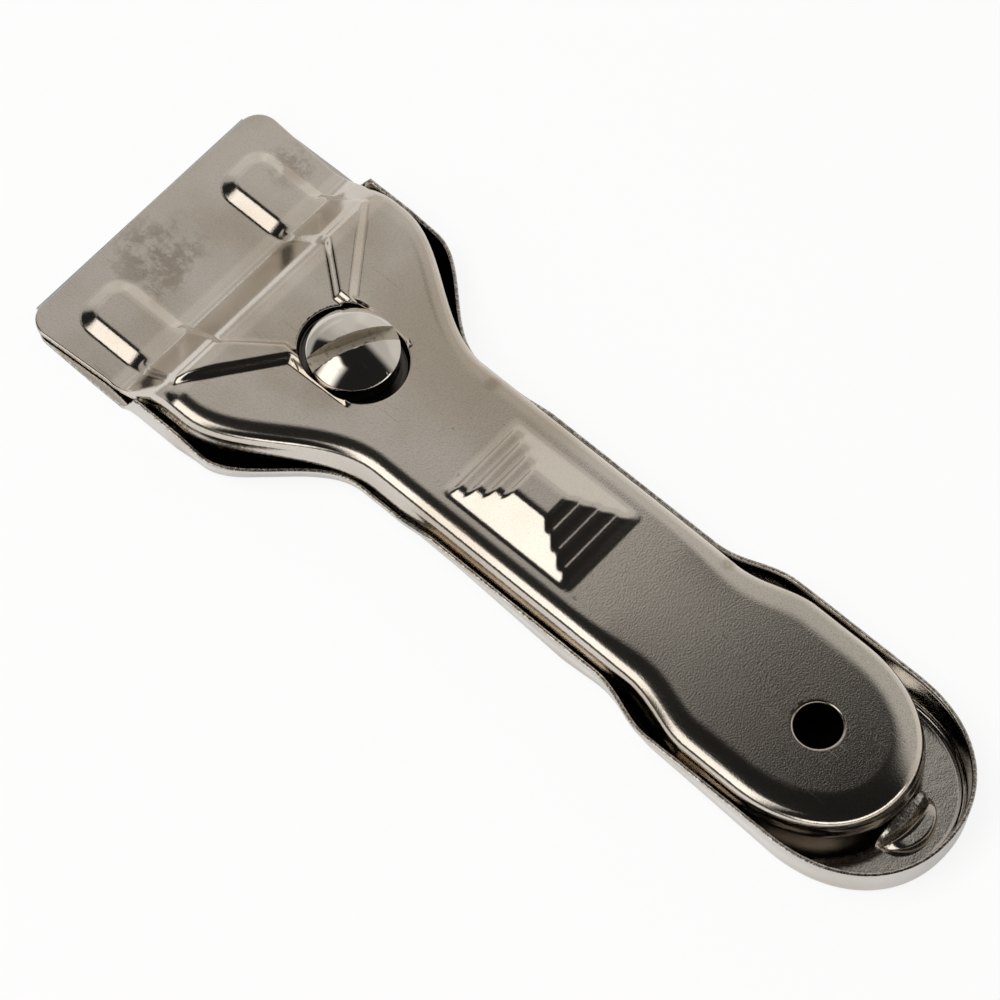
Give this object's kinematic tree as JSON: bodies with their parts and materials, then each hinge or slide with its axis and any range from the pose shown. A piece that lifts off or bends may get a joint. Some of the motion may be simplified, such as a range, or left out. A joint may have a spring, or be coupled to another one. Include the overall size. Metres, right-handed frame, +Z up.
{
  "type": "razor scraper",
  "caption": "Pocket razor scraper: a ribbed pressed-steel cover slides back over a nested tray to bare a straight blade, and a slotted clamp screw locks it.",
  "frame": {"origin": "middle of the footprint of the whole tool, on the plane of the tray's flat belly", "axes": "+X along the tool towards the blade edge, +Y across it, +Z up through the clamp screw"},
  "size_m": [0.1344, 0.0436, 0.0124],
  "materials": {
    "tray_plating": "satin nickel plate",
    "cover_plating": "satin nickel plate with a fine orange-peel grain",
    "blade_steel": "ground spring steel",
    "stud_steel": "plain steel",
    "screw_plating": "polished nickel plate",
    "nut_steel": "zinc-plated steel"
  },
  "bodies": {
    "tray_body": {"tray": "tray_plating", "razor_blade": "blade_steel", "blade_studs": "stud_steel"},
    "cover_body": {"cover": "cover_plating"},
    "screw_body": {"clamp_screw": "screw_plating"},
    "nut_body": {"clamp_nut": "nut_steel"}
  },
  "joints": [
    {"name": "cover_slide", "type": "slide", "parent": "tray_body", "child": "cover_body", "axis": [-1, 0, 0], "range_m": [0, 0.005]},
    {"name": "screw_turn", "type": "hinge", "parent": "cover_body", "child": "screw_body", "pos_m": [0.02962, 0, 0.0073], "axis": [0, 0, 1], "range_deg": [0, 360]},
    {"name": "nut_drop", "type": "slide", "parent": "cover_body", "child": "nut_body", "axis": [0, 0, -1], "range_m": [0, 0.001]}
  ],
  "couplings": [
    {"joint": "screw_turn", "follows": "nut_drop", "rad_per_m": 6283.2}
  ]
}
